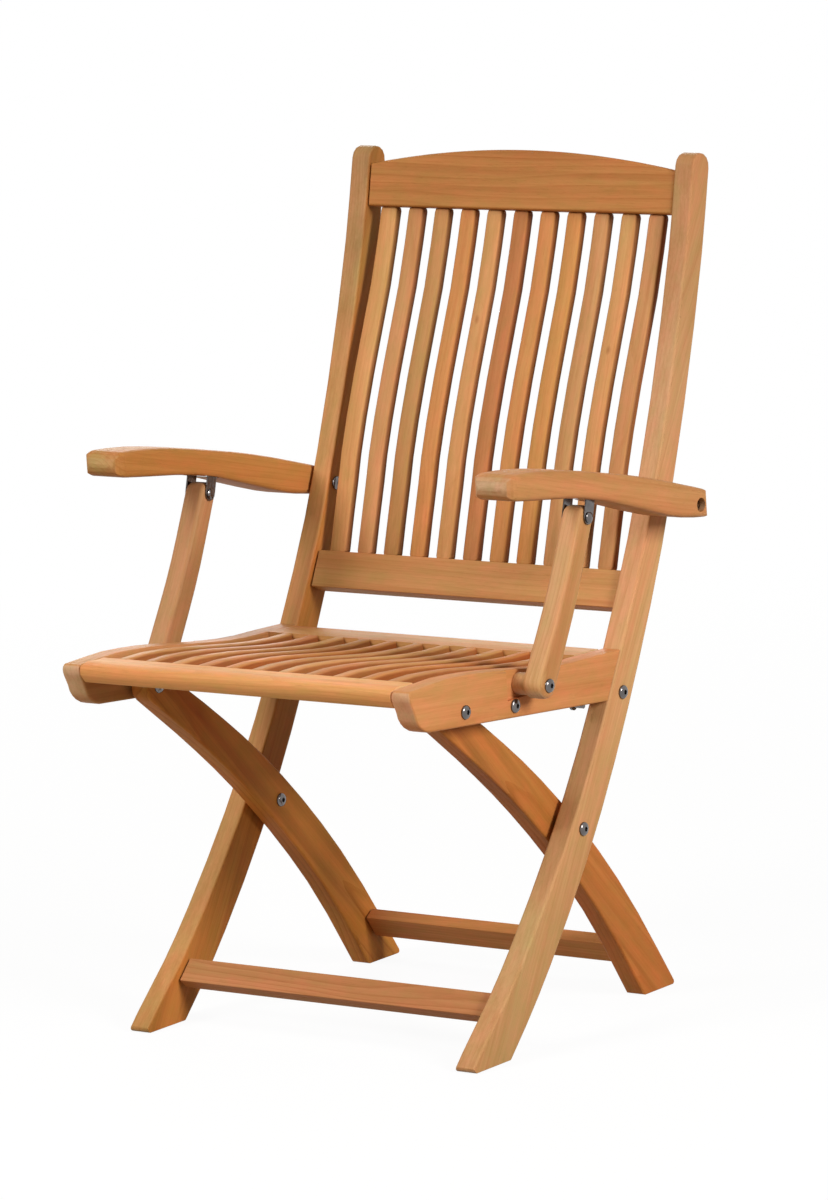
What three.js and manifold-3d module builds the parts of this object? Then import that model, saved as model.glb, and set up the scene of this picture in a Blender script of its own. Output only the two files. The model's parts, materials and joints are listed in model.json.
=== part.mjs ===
// Folding teak armchair.
//
// Lengths are in millimetres and +Z is up. The chair looks along -Y, and +X is on the sitter's left.
// Side views are drawn with y measured back from the toe of the front foot and z up from the floor;
// the whole chair is centred over the origin at the end.

import * as THREE from 'three';
import { mergeVertices } from 'three/addons/utils/BufferGeometryUtils.js';
import Module from 'manifold-3d';

const wasm = await Module();
wasm.setup();

// Overall sizes, which the side views are drawn to

const backHeight = 972;
const footToBackReach = 552;
const widthOverPosts = 498;

// Fits and edges

const fitGap = 0.3;
const cutOverrun = 20;
const floorCutDepth = 80;
const weldDistance = 0.001;
const edgeEase = 3;
const slatEase = 3.5;
const supportEase = 5;
const armEase = 6;

// Posts and rear legs

const postWidth = 55;
const postThickness = 27;
const legWidth = 52;
const legThickness = 26;
const legClearance = 7;
const pivotSetForward = 4;

// Back frame

const crestHeight = 51;
const crestArchRise = 20;
const crestThickness = 22;
const lowerRailHeight = 45;
const lowerRailThickness = 22;
const backRailSetForward = 3.5;
const backSlatCount = 11;
const backSlatWidth = 22;
const backSlatThickness = 12;
const slatTenonLength = 12;
const slatTenonThickness = 7;
const railTenonLength = 18;
const railTenonThickness = 10;
const railTenonShoulder = 7;

// Foot stretchers

const stretcherWidth = 31;
const stretcherThickness = 16;
const frontStretcherSetForward = 10;
const rearStretcherSetBack = 9;

// Seat

const seatSlatCount = 11;
const seatSlatWidth = 17.5;
const seatSlatThickness = 16;
const frontRailDepth = 39;
const frontRailHeight = 26;
const rearRailDepth = 48;
const rearRailHeight = 26;
const noseCornerRadius = 9;
const noseHeelRadius = 26;
const noseSlope = 8;

// Arms and their supports

const armWidth = 55;
const armClearance = 3;
const armCornerRadius = 16;
const armHeelRadius = 4;
const supportWidth = 31;
const supportThickness = 27;
const supportStandOff = 10;
const supportBow = 5;
const supportHeadClearance = 20.5;
const supportBossRadius = 13;
const pocketDepth = 6;
const pocketLength = 58;
const pocketFloorDrop = 15;

// Steel

const shankRadius = 4;
const headRadius = 8;
const headHeight = 4.2;
const headRim = 1.2;
const spacerRadius = 11;
const strapWidth = 18;
const strapThickness = 3;
const strapPivotSetBack = 1;
const linkSpacing = 94;
const studRadius = 3;
const studEarRadius = 6;
const studReach = 13;
const studSetForward = 58;
const bracketPlate = 2;
const bracketEarWidth = 16;
const bracketBaseLength = 24;
const bracketSideGap = 0.5;
const pinHeadRadius = 6.5;
const pinHeadHeight = 3;
const armBoreRadius = 9.5;
const armBoreDepth = 14;

// Facets round a bolt and along each curve

const roundFacets = 12;
const domeSteps = 2;
const postSteps = 20;
const legSteps = 14;
const slatSteps = 9;
const supportSteps = 7;
const seatSlatSteps = 9;
const railSteps = 13;
const armSteps = 11;
const capSteps = 7;
const cornerSteps = 4;

// Side-view lines. Each row gives y as a share of the reach and z as a share of the back height, and on
// the posts and legs the width there as a share of the full width. The first or last rows below the
// floor let the floor plane cut the sole.

const postLineShares = [
  [-0.016, -0.042, 1], [0.056, 0, 1], [0.155, 0.053, 0.95], [0.248, 0.11, 0.92], [0.393, 0.213, 0.865],
  [0.518, 0.32, 0.79], [0.625, 0.429, 0.74], [0.731, 0.551, 0.67], [0.841, 0.711, 0.635],
  [0.936, 0.884, 0.61], [0.977, 0.982, 0.6],
];
const legLineShares = [
  [0.038, 0.422, 0.78], [0.182, 0.36, 0.85], [0.32, 0.295, 0.92], [0.463, 0.216, 0.97], [0.605, 0.122, 1],
  [0.751, 0, 1.07], [0.801, -0.044, 1.07],
];
const backSlatFrontShares = [
  [0.692, 0.535], [0.71, 0.569], [0.7355, 0.615], [0.7536, 0.65], [0.7917, 0.7068], [0.8333, 0.7634],
  [0.8786, 0.821], [0.9167, 0.8796], [0.9402, 0.9198],
];
const seatTopShares = [
  [-0.136, 0.459], [-0.094, 0.4645], [-0.036, 0.4665], [0.027, 0.465], [0.109, 0.4608], [0.199, 0.4538],
  [0.326, 0.4438], [0.417, 0.4393], [0.489, 0.4385], [0.6, 0.4365],
];
const armTopShares = [
  [0.116, 0.693], [0.201, 0.6895], [0.299, 0.681], [0.406, 0.669], [0.513, 0.6558], [0.616, 0.641],
  [0.725, 0.6235], [0.785, 0.6132],
];
const armBottomShares = [
  [0.785, 0.58], [0.714, 0.5855], [0.647, 0.5945], [0.542, 0.6125], [0.402, 0.637], [0.299, 0.648],
  [0.197, 0.6555], [0.114, 0.662],
];

// Width of an arm support at its foot, middle and head, as shares of its full width

const supportWidthShares = [1, 0.93, 0.87];

// Heights of the pivots and rails on the posts, as shares of the back height

const crossPivotHeightShare = 0.24;
const strapPivotHeightShare = 0.386;
const armPivotHeightShare = 0.597;
const lowerRailHeightShare = 0.494;
const crestHeightShare = 0.9505;
const frontStretcherHeightShare = 0.05;
const rearStretcherHeightShare = 0.046;

// Places along the seat and arm, as shares of the reach, and of the back height for a second value

const seatNoseShare = -0.143;
const frontRailBackShare = -0.065;
const rearRailFrontShare = 0.49;
const railHeelShares = [-0.091, 0.411];
const railToeShares = [0.54, 0.38];
const supportPivotShares = [0.237, 0.434];
const bracketPlaceShare = 0.412;

// Finishes

const finishes = {
  teak: new THREE.MeshStandardMaterial({ color: 0xc98f5a, roughness: 0.62, metalness: 0 }),
  steel: new THREE.MeshStandardMaterial({ color: 0x9a9ca0, roughness: 0.32, metalness: 0.9 }),
};

// Widths across the chair, from the posts inwards and outwards

const postOuter = widthOverPosts / 2;
const postInner = postOuter - postThickness;
const legOuter = postInner - legClearance;
const legInner = legOuter - legThickness;
const armInner = postOuter + armClearance;
const supportInner = postOuter + supportStandOff;
const supportOuter = supportInner + supportThickness;

// Slats stand with one gap between them and the same gap to the posts or the side rails
const evenPitch = (count, width) => width + (2 * postInner - count * width) / (count + 1);
const backSlatPitch = evenPitch(backSlatCount, backSlatWidth);
const seatSlatPitch = evenPitch(seatSlatCount, seatSlatWidth);

// Curves in the side view

const sidePoint = ([yShare, zShare]) => new THREE.Vector2(yShare * footToBackReach, zShare * backHeight);

function sideSpline(shares) {
  return new THREE.SplineCurve(shares.map(sidePoint));
}

// A bar's line carries its width in the third coordinate
function barLine(shares, width) {
  const knots = shares.map(([y, z, w]) => new THREE.Vector3(y * footToBackReach, z * backHeight, w * width));
  return new THREE.CatmullRomCurve3(knots, false, 'centripetal');
}

function barFrame(line, t) {
  const at = line.getPoint(t);
  const along = line.getTangent(t);
  const heading = new THREE.Vector2(along.x, along.y).normalize();
  return {
    centre: new THREE.Vector2(at.x, at.y),
    heading,
    left: new THREE.Vector2(-heading.y, heading.x),
    half: at.z / 2,
  };
}

const barEdge = (frame, side) => frame.centre.clone().addScaledVector(frame.left, side * frame.half);

// Finds where a rising or falling function of t takes a value
function solve(value, target) {
  let low = 0;
  let high = 1;
  const rising = value(1) > value(0);
  for (let step = 0; step < 40; step++) {
    const middle = (low + high) / 2;
    if (value(middle) < target === rising) low = middle;
    else high = middle;
  }
  return (low + high) / 2;
}

const postLine = barLine(postLineShares, postWidth);
const legLine = barLine(legLineShares, legWidth);
const seatTop = sideSpline(seatTopShares);
const armTop = sideSpline(armTopShares);
const armBottom = sideSpline(armBottomShares);

const frameAtHeight = (line, z) => barFrame(line, solve((t) => line.getPoint(t).y, z));
const curveAtReach = (curve, y) => curve.getPoint(solve((t) => curve.getPoint(t).x, y));
const seatTopAt = (y) => curveAtReach(seatTop, y).y;

// The front edge of the post is on the left of its line as the line climbs
function postFrontAt(z) {
  const t = solve((s) => barEdge(barFrame(postLine, s), 1).y, z);
  return barEdge(barFrame(postLine, t), 1).x;
}

// Pivots in the side view

function postPivot(heightShare, setBack) {
  const { centre } = frameAtHeight(postLine, heightShare * backHeight);
  return centre.add(new THREE.Vector2(setBack, 0));
}

const crossPivot = postPivot(crossPivotHeightShare, -pivotSetForward);
const strapPivot = postPivot(strapPivotHeightShare, strapPivotSetBack);
const armPivot = postPivot(armPivotHeightShare, -pivotSetForward);
const seatPivot = barFrame(legLine, 0).centre;
const strapDirection = strapPivot.clone().sub(seatPivot).normalize();
const linkPivot = seatPivot.clone().addScaledVector(strapDirection, linkSpacing);
const supportPivot = sidePoint(supportPivotShares);

const bracketT = solve((t) => armBottom.getPoint(t).x, bracketPlaceShare * footToBackReach);
const bracketSeat = armBottom.getPoint(bracketT);
const bracketAlong = armBottom.getTangent(bracketT);
const bracketDown = new THREE.Vector2(bracketAlong.y, -bracketAlong.x);
if (bracketDown.y > 0) bracketDown.negate();
const bracketPivot = bracketSeat.clone().addScaledVector(bracketDown, supportHeadClearance);

// Solids

function toSolid(geometry) {
  const bare = new THREE.BufferGeometry();
  bare.setAttribute('position', geometry.getAttribute('position'));
  if (geometry.index) bare.setIndex(geometry.index);
  const welded = mergeVertices(bare, weldDistance);
  return new wasm.Manifold(new wasm.Mesh({
    numProp: 3,
    vertProperties: new Float32Array(welded.attributes.position.array),
    triVerts: new Uint32Array(welded.index.array),
  }));
}

function toGeometry(solid) {
  const mesh = solid.getMesh();
  const geometry = new THREE.BufferGeometry();
  geometry.setAttribute('position', new THREE.BufferAttribute(new Float32Array(mesh.vertProperties), 3));
  geometry.setIndex(new THREE.BufferAttribute(new Uint32Array(mesh.triVerts), 1));
  geometry.computeVertexNormals();
  return geometry;
}

const sideAxes = new THREE.Matrix4().makeBasis(
  new THREE.Vector3(0, 1, 0), new THREE.Vector3(0, 0, 1), new THREE.Vector3(1, 0, 0),
);

// A side-view outline with eased edges, given its thickness from x = low to x = high
function sideBoard(outline, low, high, ease = 0, easeSteps = 1) {
  const geometry = new THREE.ExtrudeGeometry(new THREE.Shape(outline), {
    depth: high - low - 2 * ease,
    bevelEnabled: ease > 0,
    bevelThickness: ease,
    bevelSize: ease,
    bevelOffset: -ease,
    bevelSegments: easeSteps,
    steps: 1,
  });
  geometry.translate(0, 0, low + ease);
  geometry.applyMatrix4(sideAxes);
  return toSolid(geometry);
}

// A round bar along X, centred on a side-view point
function roundBar(centre, radius, low, high) {
  const geometry = new THREE.CylinderGeometry(radius, radius, high - low, roundFacets);
  geometry.rotateZ(Math.PI / 2);
  geometry.translate((low + high) / 2, centre.x, centre.y);
  return toSolid(geometry);
}

const boltHole = (centre) => roundBar(centre, shankRadius + fitGap, -widthOverPosts, widthOverPosts);

// A rectangle in the side view, turned so that its length runs along a heading
function turnedBox(centre, heading, length, width) {
  const along = heading.clone().multiplyScalar(length / 2);
  const across = new THREE.Vector2(-heading.y, heading.x).multiplyScalar(width / 2);
  return [
    centre.clone().sub(along).sub(across), centre.clone().add(along).sub(across),
    centre.clone().add(along).add(across), centre.clone().sub(along).add(across),
  ];
}

// Points of an arc in the side view, from one angle to another
function arc(centre, radius, from, to, steps) {
  const points = [];
  for (let i = 0; i <= steps; i++) {
    const angle = from + ((to - from) * i) / steps;
    points.push(new THREE.Vector2(centre.x + radius * Math.cos(angle), centre.y + radius * Math.sin(angle)));
  }
  return points;
}

// The outline of a curved bar, with a half-round end where it is asked for
function barOutline(line, steps, roundStart, roundEnd) {
  const leftEdge = [];
  const rightEdge = [];
  for (let i = 0; i <= steps; i++) {
    const frame = barFrame(line, i / steps);
    leftEdge.push(barEdge(frame, 1));
    rightEdge.push(barEdge(frame, -1));
  }
  const start = barFrame(line, 0);
  const end = barFrame(line, 1);
  const startAngle = start.left.angle();
  const endAngle = end.left.angle();
  const startCap = roundStart ? arc(start.centre, start.half, startAngle, startAngle + Math.PI, capSteps) : [];
  const endCap = roundEnd ? arc(end.centre, end.half, endAngle - Math.PI, endAngle, capSteps) : [];
  return [...startCap.slice(1, -1), ...rightEdge, ...endCap.slice(1, -1), ...leftEdge.reverse()];
}

// Everything below the floor
function floorBlock() {
  const geometry = new THREE.BoxGeometry(2 * widthOverPosts, 4 * footToBackReach, floorCutDepth);
  geometry.translate(0, 0, -floorCutDepth / 2);
  return toSolid(geometry);
}

const chair = new THREE.Group();

function addPiece(name, solid, finish, x = 0) {
  const mesh = new THREE.Mesh(toGeometry(solid), finishes[finish].clone());
  mesh.name = name;
  mesh.position.x = x;
  chair.add(mesh);
}

const sides = [{ name: 'left', sign: 1 }, { name: 'right', sign: -1 }];

// Both faces of a board that stands on one side of the chair, as low and high x
const across = (sign, inner, outer) => (sign > 0 ? [inner, outer] : [-outer, -inner]);

// Rails across the chair: a section in the side view between the faces it meets, with a tenon each end

function crossRail(section, tenon, halfSpan, ease) {
  const body = sideBoard(section, fitGap - halfSpan, halfSpan - fitGap, ease);
  const tongueEnd = halfSpan + railTenonLength;
  return body.add(sideBoard(tenon, -tongueEnd, tongueEnd));
}

const crossMortise = (grownTenon, halfSpan) => {
  const end = halfSpan + railTenonLength + fitGap;
  return sideBoard(grownTenon, -end, end);
};

// Places of the rails

function railPlace(line, height, setOff) {
  const frame = frameAtHeight(line, height);
  return { centre: frame.centre.clone().addScaledVector(frame.left, setOff), heading: frame.heading };
}

const lowerRail = railPlace(postLine, lowerRailHeightShare * backHeight, backRailSetForward);
const crest = railPlace(postLine, crestHeightShare * backHeight, backRailSetForward);
const frontStretcher = railPlace(postLine, frontStretcherHeightShare * backHeight, frontStretcherSetForward);
const rearStretcher = railPlace(legLine, rearStretcherHeightShare * backHeight, rearStretcherSetBack);

// A tenon is thinner than its rail by the shoulder at each edge, and a mortise is wider by the gap
function railTenon(place, railWidth, grow = 0) {
  const width = railWidth - 2 * railTenonShoulder + 2 * grow;
  return turnedBox(place.centre, place.heading, width, railTenonThickness + 2 * grow);
}

const railSection = (place, width, thickness) => turnedBox(place.centre, place.heading, width, thickness);

// Back slats: their front face is the line from the table, and their ends are square to it

const backSlatFront = sideSpline(backSlatFrontShares);

function slatEdgePoint(t, depth) {
  const heading = backSlatFront.getTangent(t);
  const back = new THREE.Vector2(heading.y, -heading.x);
  return backSlatFront.getPoint(t).addScaledVector(back, depth);
}

// Distance of a side-view point past a rail's edge, along the rail's own heading
const pastRail = (point, place) => point.clone().sub(place.centre).dot(place.heading);

function slatRange() {
  const middle = backSlatThickness / 2;
  const bottom = solve((t) => pastRail(slatEdgePoint(t, middle), lowerRail), lowerRailHeight / 2 + fitGap);
  const top = solve((t) => pastRail(slatEdgePoint(t, middle), crest), -crestHeight / 2 - fitGap);
  return { bottom, top };
}

// A tongue on the slat's end, in line with it, and the same grown to make its mortise
function slatTongue(t, direction, grow = 0) {
  const heading = backSlatFront.getTangent(t).multiplyScalar(direction);
  const centre = slatEdgePoint(t, backSlatThickness / 2).addScaledVector(heading, grow / 2);
  return turnedBox(centre, heading, 2 * slatTenonLength + grow, slatTenonThickness + 2 * grow);
}

const slatSpan = slatRange();

function backSlatOutline() {
  const front = [];
  const rear = [];
  for (let i = 0; i <= slatSteps; i++) {
    const t = THREE.MathUtils.lerp(slatSpan.bottom, slatSpan.top, i / slatSteps);
    front.push(slatEdgePoint(t, 0));
    rear.push(slatEdgePoint(t, backSlatThickness));
  }
  // The two ends are cut along the faces of the rails they meet
  trimTo(front, rear, 0, lowerRail, lowerRailHeight / 2 + fitGap);
  trimTo(front, rear, slatSteps, crest, -crestHeight / 2 - fitGap);
  return [...rear, ...front.reverse()];
}

function trimTo(front, rear, index, place, distance) {
  const neighbour = index === 0 ? 1 : index - 1;
  for (const edge of [front, rear]) {
    const step = edge[index].clone().sub(edge[neighbour]);
    const here = pastRail(edge[index], place);
    edge[index].addScaledVector(step, (distance - here) / step.dot(place.heading));
  }
}

const backSlatPlaces = [];
for (let i = 0; i < backSlatCount; i++) backSlatPlaces.push((i - (backSlatCount - 1) / 2) * backSlatPitch);

function backMortises(t, direction) {
  const tongue = slatTongue(t, direction, fitGap);
  const half = backSlatWidth / 2 - slatEase + fitGap;
  return backSlatPlaces.map((x) => sideBoard(tongue, x - half, x + half));
}

const backSlatSolid = (() => {
  const half = backSlatWidth / 2;
  const tongueHalf = half - slatEase;
  const lower = sideBoard(slatTongue(slatSpan.bottom, -1), -tongueHalf, tongueHalf);
  const upper = sideBoard(slatTongue(slatSpan.top, 1), -tongueHalf, tongueHalf);
  return sideBoard(backSlatOutline(), -half, half, slatEase).add(lower).add(upper);
})();

backSlatPlaces.forEach((x, i) => {
  addPiece(`back_slat_${String(i + 1).padStart(2, '0')}`, backSlatSolid, 'teak', x);
});

// Lower back rail

let lowerRailSolid = crossRail(
  railSection(lowerRail, lowerRailHeight, lowerRailThickness), railTenon(lowerRail, lowerRailHeight),
  postInner, edgeEase,
);
for (const mortise of backMortises(slatSpan.bottom, -1)) lowerRailSolid = lowerRailSolid.subtract(mortise);
addPiece('lower_back_rail', lowerRailSolid, 'teak');

// Crest rail: its arched face is drawn in its own plane, which leans with the posts

function crestSolid() {
  const halfSpan = postInner - fitGap;
  const arch = new THREE.Shape();
  const halfHeight = crestHeight / 2;
  const radius = (halfSpan ** 2 + crestArchRise ** 2) / (2 * crestArchRise);
  const sweep = Math.asin(halfSpan / radius);
  arch.moveTo(-halfSpan, -halfHeight);
  arch.lineTo(halfSpan, -halfHeight);
  arch.absarc(0, halfHeight + crestArchRise - radius, radius, Math.PI / 2 - sweep, Math.PI / 2 + sweep, false);
  const geometry = new THREE.ExtrudeGeometry(arch, {
    depth: crestThickness - 2 * edgeEase,
    bevelThickness: edgeEase,
    bevelSize: edgeEase,
    bevelOffset: -edgeEase,
    bevelSegments: 1,
    curveSegments: postSteps,
  });
  geometry.translate(0, 0, edgeEase - crestThickness / 2);
  const up = new THREE.Vector3(0, crest.heading.x, crest.heading.y);
  const forward = new THREE.Vector3(0, -crest.heading.y, crest.heading.x);
  geometry.applyMatrix4(new THREE.Matrix4().makeBasis(new THREE.Vector3(1, 0, 0), up, forward));
  geometry.translate(0, crest.centre.x, crest.centre.y);
  const tongueEnd = postInner + railTenonLength;
  let solid = toSolid(geometry).add(sideBoard(railTenon(crest, crestHeight), -tongueEnd, tongueEnd));
  for (const mortise of backMortises(slatSpan.top, 1)) solid = solid.subtract(mortise);
  return solid;
}
addPiece('crest_rail', crestSolid(), 'teak');

// Foot stretchers

const stretcherSection = (place) => railSection(place, stretcherWidth, stretcherThickness);
addPiece('front_stretcher', crossRail(
  stretcherSection(frontStretcher), railTenon(frontStretcher, stretcherWidth), postInner, edgeEase,
), 'teak');
addPiece('rear_stretcher', crossRail(
  stretcherSection(rearStretcher), railTenon(rearStretcher, stretcherWidth), legInner, edgeEase,
), 'teak');

// Posts

let postSolid = sideBoard(
  barOutline(postLine, postSteps, false, true), -postThickness / 2, postThickness / 2, edgeEase, 2,
).subtract(floorBlock());
for (const pivot of [crossPivot, strapPivot, armPivot]) postSolid = postSolid.subtract(boltHole(pivot));

const postMortises = [
  railTenon(lowerRail, lowerRailHeight, fitGap),
  railTenon(crest, crestHeight, fitGap),
  railTenon(frontStretcher, stretcherWidth, fitGap),
];
for (const { name, sign } of sides) {
  let solid = postSolid;
  for (const mortise of postMortises) {
    const x = sign * (postInner + postThickness / 2);
    solid = solid.subtract(crossMortise(mortise, postInner).translate(-x, 0, 0));
  }
  addPiece(`post_${name}`, solid, 'teak', sign * (postInner + postThickness / 2));
}

// Rear legs

let legSolid = sideBoard(
  barOutline(legLine, legSteps, true, false), -legThickness / 2, legThickness / 2, edgeEase, 2,
).subtract(floorBlock());
for (const pivot of [crossPivot, seatPivot]) legSolid = legSolid.subtract(boltHole(pivot));

for (const { name, sign } of sides) {
  const x = sign * (legInner + legThickness / 2);
  const mortise = crossMortise(railTenon(rearStretcher, stretcherWidth, fitGap), legInner);
  addPiece(`rear_leg_${name}`, legSolid.subtract(mortise.translate(-x, 0, 0)), 'teak', x);
}

// Seat side rails: waved top, rounded nose, and a rear end that follows the front of the post

const seatNose = seatNoseShare * footToBackReach;
const frontRailBack = frontRailBackShare * footToBackReach;
const rearRailFront = rearRailFrontShare * footToBackReach;
const railHeel = sidePoint(railHeelShares);
const railToe = sidePoint(railToeShares);
const railBottomAt = (y) => {
  const share = (y - railHeel.x) / (railToe.x - railHeel.x);
  return THREE.MathUtils.lerp(railHeel.y, railToe.y, share);
};

// The nose seen from the side, from the seat's top down to the underside of a rail
function noseLine(bottom, heelRadius) {
  const crownY = seatNose + noseCornerRadius;
  const crown = new THREE.Vector2(crownY, seatTopAt(crownY) - noseCornerRadius);
  const heel = new THREE.Vector2(seatNose + noseSlope + heelRadius, bottom + heelRadius);
  return [
    ...arc(crown, noseCornerRadius, Math.PI / 2, Math.PI, cornerSteps),
    ...arc(heel, heelRadius, Math.PI, 1.5 * Math.PI, cornerSteps + 1),
  ];
}

function seatTopPoints(from, to, steps) {
  const points = [];
  for (let i = 0; i <= steps; i++) {
    const y = THREE.MathUtils.lerp(from, to, i / steps);
    points.push(new THREE.Vector2(y, seatTopAt(y)));
  }
  return points;
}

function sideRailOutline() {
  const endTop = solveRailEnd((y) => seatTopAt(y));
  const endBottom = solveRailEnd(railBottomAt);
  const end = [];
  for (let i = 0; i <= cornerSteps; i++) {
    const z = THREE.MathUtils.lerp(endBottom.y, endTop.y, i / cornerSteps);
    end.push(new THREE.Vector2(postFrontAt(z) - 2 * fitGap, z));
  }
  const top = seatTopPoints(seatNose + noseCornerRadius, endTop.x, railSteps).reverse();
  return [...end.slice(0, -1), ...top, ...noseLine(railHeel.y, noseHeelRadius).slice(1)];
}

// Where an edge of the rail meets the front of the post
function solveRailEnd(heightAt) {
  let y = postFrontAt(seatTopAt(0));
  for (let step = 0; step < 40; step++) y = postFrontAt(heightAt(y)) - 2 * fitGap;
  return new THREE.Vector2(y, heightAt(y));
}

// Front and rear rails of the seat

const frontRailBottom = seatTopAt(frontRailBack) - frontRailHeight;
const rearRailBack = rearRailFront + rearRailDepth;
const rearRailBottom = seatTopAt(rearRailFront) - rearRailHeight;

const frontRailSection = () => [
  new THREE.Vector2(seatNose + noseSlope, frontRailBottom),
  new THREE.Vector2(frontRailBack, frontRailBottom),
  ...seatTopPoints(frontRailBack, seatNose + noseCornerRadius, cornerSteps),
  ...arc(
    new THREE.Vector2(seatNose + noseCornerRadius, seatTopAt(seatNose + noseCornerRadius) - noseCornerRadius),
    noseCornerRadius, Math.PI / 2, Math.PI, cornerSteps,
  ).slice(1),
];

const rearRailSection = () => [
  new THREE.Vector2(rearRailFront, rearRailBottom),
  new THREE.Vector2(rearRailBack, rearRailBottom),
  ...seatTopPoints(rearRailBack, rearRailFront, cornerSteps),
];

const level = new THREE.Vector2(1, 0);
const frontTenonCentre = new THREE.Vector2(
  (seatNose + noseSlope + frontRailBack) / 2, frontRailBottom + frontRailHeight / 2,
);
const rearTenonCentre = new THREE.Vector2(
  (rearRailFront + rearRailBack) / 2, rearRailBottom + rearRailHeight / 2,
);
const seatRailTenon = (centre, depth, grow = 0) => (
  turnedBox(centre, level, depth - 2 * railTenonShoulder + 2 * grow, railTenonThickness + 2 * grow)
);

// Seat slats: the top follows the wave, and a tongue at each end enters a rail below its top

const slatFront = frontRailBack + fitGap;
const slatBack = rearRailFront - fitGap;

function seatTongue(y, grow = 0) {
  const centre = new THREE.Vector2(y, seatTopAt(y) - seatSlatThickness / 2);
  return turnedBox(centre, level, 2 * slatTenonLength + 2 * grow, slatTenonThickness + 2 * grow);
}

function seatSlatOutline() {
  const top = seatTopPoints(slatFront, slatBack, seatSlatSteps);
  const bottom = top.map((point) => new THREE.Vector2(point.x, point.y - seatSlatThickness));
  return [...bottom, ...top.reverse()];
}

const seatSlatSolid = (() => {
  const half = seatSlatWidth / 2;
  const tongueHalf = half - slatEase;
  return sideBoard(seatSlatOutline(), -half, half, slatEase)
    .add(sideBoard(seatTongue(slatFront), -tongueHalf, tongueHalf))
    .add(sideBoard(seatTongue(slatBack), -tongueHalf, tongueHalf));
})();

const seatSlatPlaces = [];
for (let i = 0; i < seatSlatCount; i++) seatSlatPlaces.push((i - (seatSlatCount - 1) / 2) * seatSlatPitch);
seatSlatPlaces.forEach((x, i) => {
  addPiece(`seat_slat_${String(i + 1).padStart(2, '0')}`, seatSlatSolid, 'teak', x);
});

function withSeatMortises(solid, y) {
  const half = seatSlatWidth / 2 - slatEase + fitGap;
  const tongue = seatTongue(y, fitGap);
  return seatSlatPlaces.reduce((rest, x) => rest.subtract(sideBoard(tongue, x - half, x + half)), solid);
}

const frontRailSolid = crossRail(
  frontRailSection(), seatRailTenon(frontTenonCentre, frontRailDepth), postInner, 0,
);
addPiece('seat_front_rail', withSeatMortises(frontRailSolid, slatFront), 'teak');

const rearRailSolid = crossRail(
  rearRailSection(), seatRailTenon(rearTenonCentre, rearRailDepth), postInner, 0,
);
addPiece('seat_rear_rail', withSeatMortises(rearRailSolid, slatBack), 'teak');

const sideRailMortises = [
  crossMortise(seatRailTenon(frontTenonCentre, frontRailDepth, fitGap), postInner),
  crossMortise(seatRailTenon(rearTenonCentre, rearRailDepth, fitGap), postInner),
];

// The pocket in the outer face lets the boss of the arm support sit in it, and is open at the top
function railPocket(sign) {
  const bottom = supportPivot.y - pocketFloorDrop;
  const top = backHeight;
  const outline = turnedBox(
    new THREE.Vector2(supportPivot.x, (bottom + top) / 2), level, pocketLength, top - bottom,
  );
  const [low, high] = across(sign, postOuter - pocketDepth, postOuter + cutOverrun);
  return sideBoard(outline, low, high);
}

for (const { name, sign } of sides) {
  const [low, high] = across(sign, postInner, postOuter);
  let solid = sideBoard(sideRailOutline(), low, high, edgeEase, 2);
  for (const cut of [...sideRailMortises, railPocket(sign)]) solid = solid.subtract(cut);
  for (const pivot of [seatPivot, linkPivot, supportPivot]) solid = solid.subtract(boltHole(pivot));
  addPiece(`seat_side_rail_${name}`, solid, 'teak');
}

// Arms

function armOutline() {
  const top = armTop.getPoints(armSteps);
  const bottom = armBottom.getPoints(armSteps);
  const noseTop = top[0];
  const noseBottom = bottom[bottom.length - 1];
  const noseCentre = noseTop.clone().add(noseBottom).multiplyScalar(0.5);
  const noseRadius = noseTop.distanceTo(noseBottom) / 2;
  const noseAngle = noseTop.clone().sub(noseCentre).angle();
  const nose = arc(noseCentre, noseRadius, noseAngle, noseAngle + Math.PI, capSteps);
  return [...bottom.reverse(), ...top.reverse(), ...nose.slice(1, -1)];
}

// The arm seen from above has well rounded front corners
function armPlan(sign) {
  const [low, high] = across(sign, armInner, armInner + armWidth);
  const front = Math.min(...armOutline().map((point) => point.x));
  const back = Math.max(...armOutline().map((point) => point.x));
  const outline = [
    ...arc(new THREE.Vector2(low + armCornerRadius, front + armCornerRadius), armCornerRadius,
      Math.PI, 1.5 * Math.PI, cornerSteps),
    ...arc(new THREE.Vector2(high - armCornerRadius, front + armCornerRadius), armCornerRadius,
      1.5 * Math.PI, 2 * Math.PI, cornerSteps),
    ...arc(new THREE.Vector2(high - armHeelRadius, back - armHeelRadius), armHeelRadius, 0, Math.PI / 2, 2),
    ...arc(new THREE.Vector2(low + armHeelRadius, back - armHeelRadius), armHeelRadius,
      Math.PI / 2, Math.PI, 2),
  ];
  const geometry = new THREE.ExtrudeGeometry(new THREE.Shape(outline), { depth: backHeight, bevelEnabled: false });
  return toSolid(geometry);
}

// The bracket's base is let in flush with the underside of the arm
const bracketBase = bracketSeat.clone().addScaledVector(bracketDown, -bracketPlate / 2);
const earInner = supportInner - bracketSideGap - bracketPlate;
const earOuter = supportOuter + bracketSideGap + bracketPlate;

function bracketRecess(sign) {
  const [low, high] = across(sign, earInner - fitGap, earOuter + fitGap);
  const depth = bracketPlate + fitGap;
  const centre = bracketSeat.clone().addScaledVector(bracketDown, cutOverrun / 2 - depth / 2);
  return sideBoard(
    turnedBox(centre, bracketAlong, bracketBaseLength + 2 * fitGap, cutOverrun + depth), low, high,
  );
}

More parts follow.
